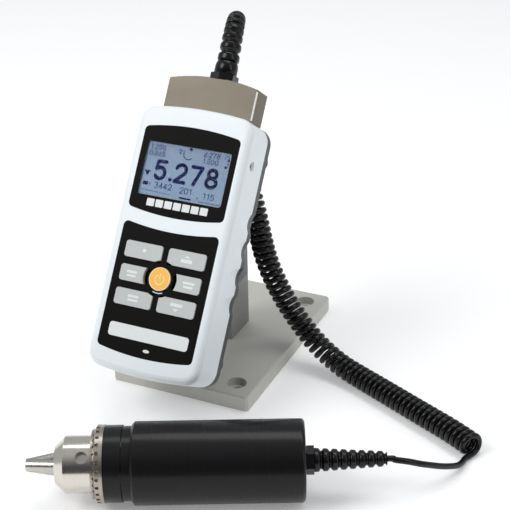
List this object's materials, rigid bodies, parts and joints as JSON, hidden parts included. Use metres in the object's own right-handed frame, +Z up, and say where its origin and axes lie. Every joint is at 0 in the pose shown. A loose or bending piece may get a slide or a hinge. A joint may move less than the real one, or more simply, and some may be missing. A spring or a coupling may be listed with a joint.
{
  "type": "force and torque indicator with remote torque sensor",
  "caption": "Hand-held indicator with display and keypad on a tilted bench stand, joined by a coiled cord to a cylindrical torque sensor with a keyed chuck.",
  "frame": {"origin": "centre of the stand base plate's underside", "axes": "+X to the right along the base's front edge, +Y to the rear, +Z up"},
  "size_m": [0.2363, 0.265, 0.2176],
  "materials": {
    "stand_paint": "satin light warm grey paint",
    "bracket_paint": "satin dark grey paint",
    "white_shell": "fine-textured cool white moulding",
    "dark_shell": "fine-textured black moulding",
    "panel": "satin black printed overlay",
    "window": "clear polished window",
    "display": "blue backlit display",
    "key_face": "matt light grey",
    "power_face": "orange with a pale rim",
    "inner_frame": "plain moulding",
    "board": "green solder mask",
    "battery": "shrink sleeve",
    "clear_rubber": "clear soft bumper",
    "plug_metal": "satin bronze grey",
    "black_plastic": "plain black moulding",
    "black_rubber": "soft black rubber",
    "steel_bright": "polished steel",
    "steel_plain": "plain machined steel",
    "black_metal": "gloss black anodised"
  },
  "bodies": {
    "stand": {"stand_base": "stand_paint", "stand_post": "stand_paint", "column_screws": "steel_plain", "plate_bracket": "bracket_paint", "mounting_plate": "stand_paint", "plate_screws": "steel_plain", "indicator_screws": "steel_plain", "front_shell": "white_shell", "rear_cover": "dark_shell", "upper_bezel": "panel", "display_window": "window", "lcd_screen": "display", "lcd_frame": "inner_frame", "keypad_overlay": "panel", "key_domes": "steel_plain", "keypad_board": "board", "main_board": "board", "battery_pack": "battery", "sensor_receptacle": "black_plastic", "io_port": "steel_plain", "usb_port": "steel_plain", "power_jack": "black_plastic", "housing_screws": "steel_plain", "retaining_screws": "steel_plain", "rubber_feet": "clear_rubber", "plug_housing": "plug_metal", "plug_insert": "black_plastic", "plug_board": "board", "top_gland_body": "black_plastic", "top_strain_relief": "black_rubber", "cord_lead_top": "black_rubber", "cord_coil": "black_rubber", "cord_lead_sensor": "black_rubber", "sensor_gland_body": "black_plastic", "sensor_strain_relief": "black_rubber", "sensor_housing": "black_metal", "sensor_rear_cap": "black_metal", "sensor_front_cap": "black_metal", "shaft_bearings": "steel_plain", "torsion_shaft": "steel_plain", "gauge_board": "board", "cap_screws": "steel_plain", "chuck_body": "steel_bright"},
    "key_power": {"key_power": "power_face"},
    "key_top_left": {"key_top_left": "key_face"},
    "key_top_right": {"key_top_right": "key_face"},
    "key_mid_left": {"key_mid_left": "key_face"},
    "key_mid_right": {"key_mid_right": "key_face"},
    "key_low_left": {"key_low_left": "key_face"},
    "key_low_right": {"key_low_right": "key_face"},
    "sleeve": {"chuck_sleeve": "steel_bright", "sleeve_grip": "black_metal", "chuck_nut": "steel_plain"},
    "chuck_jaw_1": {"chuck_jaw_1": "steel_bright"},
    "chuck_jaw_2": {"chuck_jaw_2": "steel_bright"},
    "chuck_jaw_3": {"chuck_jaw_3": "steel_bright"}
  },
  "joints": [
    {"name": "key_power_press", "type": "slide", "parent": "stand", "child": "key_power", "axis": [0, 0.8329, -0.5534], "range_m": [0, 0.0005], "stiffness_N_per_m": 800},
    {"name": "key_top_left_press", "type": "slide", "parent": "stand", "child": "key_top_left", "axis": [0, 0.8329, -0.5534], "range_m": [0, 0.0005], "stiffness_N_per_m": 800},
    {"name": "key_top_right_press", "type": "slide", "parent": "stand", "child": "key_top_right", "axis": [0, 0.8329, -0.5534], "range_m": [0, 0.0005], "stiffness_N_per_m": 800},
    {"name": "key_mid_left_press", "type": "slide", "parent": "stand", "child": "key_mid_left", "axis": [0, 0.8329, -0.5534], "range_m": [0, 0.0005], "stiffness_N_per_m": 800},
    {"name": "key_mid_right_press", "type": "slide", "parent": "stand", "child": "key_mid_right", "axis": [0, 0.8329, -0.5534], "range_m": [0, 0.0005], "stiffness_N_per_m": 800},
    {"name": "key_low_left_press", "type": "slide", "parent": "stand", "child": "key_low_left", "axis": [0, 0.8329, -0.5534], "range_m": [0, 0.0005], "stiffness_N_per_m": 800},
    {"name": "key_low_right_press", "type": "slide", "parent": "stand", "child": "key_low_right", "axis": [0, 0.8329, -0.5534], "range_m": [0, 0.0005], "stiffness_N_per_m": 800},
    {"name": "sleeve_turn", "type": "hinge", "parent": "stand", "child": "sleeve", "pos_m": [0.024, -0.167, 0.023], "axis": [-0.9063, -0.4226, 0], "range_deg": [0, 2160]},
    {"name": "chuck_jaw_1_slide", "type": "slide", "parent": "stand", "child": "chuck_jaw_1", "axis": [0.9656, 0.2394, 0.1016], "range_m": [0, 0.015]},
    {"name": "chuck_jaw_2_slide", "type": "slide", "parent": "stand", "child": "chuck_jaw_2", "axis": [0.8073, 0.579, 0.1147], "range_m": [0, 0.015]},
    {"name": "chuck_jaw_3_slide", "type": "slide", "parent": "stand", "child": "chuck_jaw_3", "axis": [0.8816, 0.4194, -0.2163], "range_m": [0, 0.015]}
  ],
  "couplings": [
    {"joint": "chuck_jaw_1_slide", "follows": "chuck_jaw_3_slide", "ratio": 1},
    {"joint": "chuck_jaw_2_slide", "follows": "chuck_jaw_3_slide", "ratio": 1},
    {"joint": "sleeve_turn", "follows": "chuck_jaw_3_slide", "rad_per_m": 2513}
  ]
}
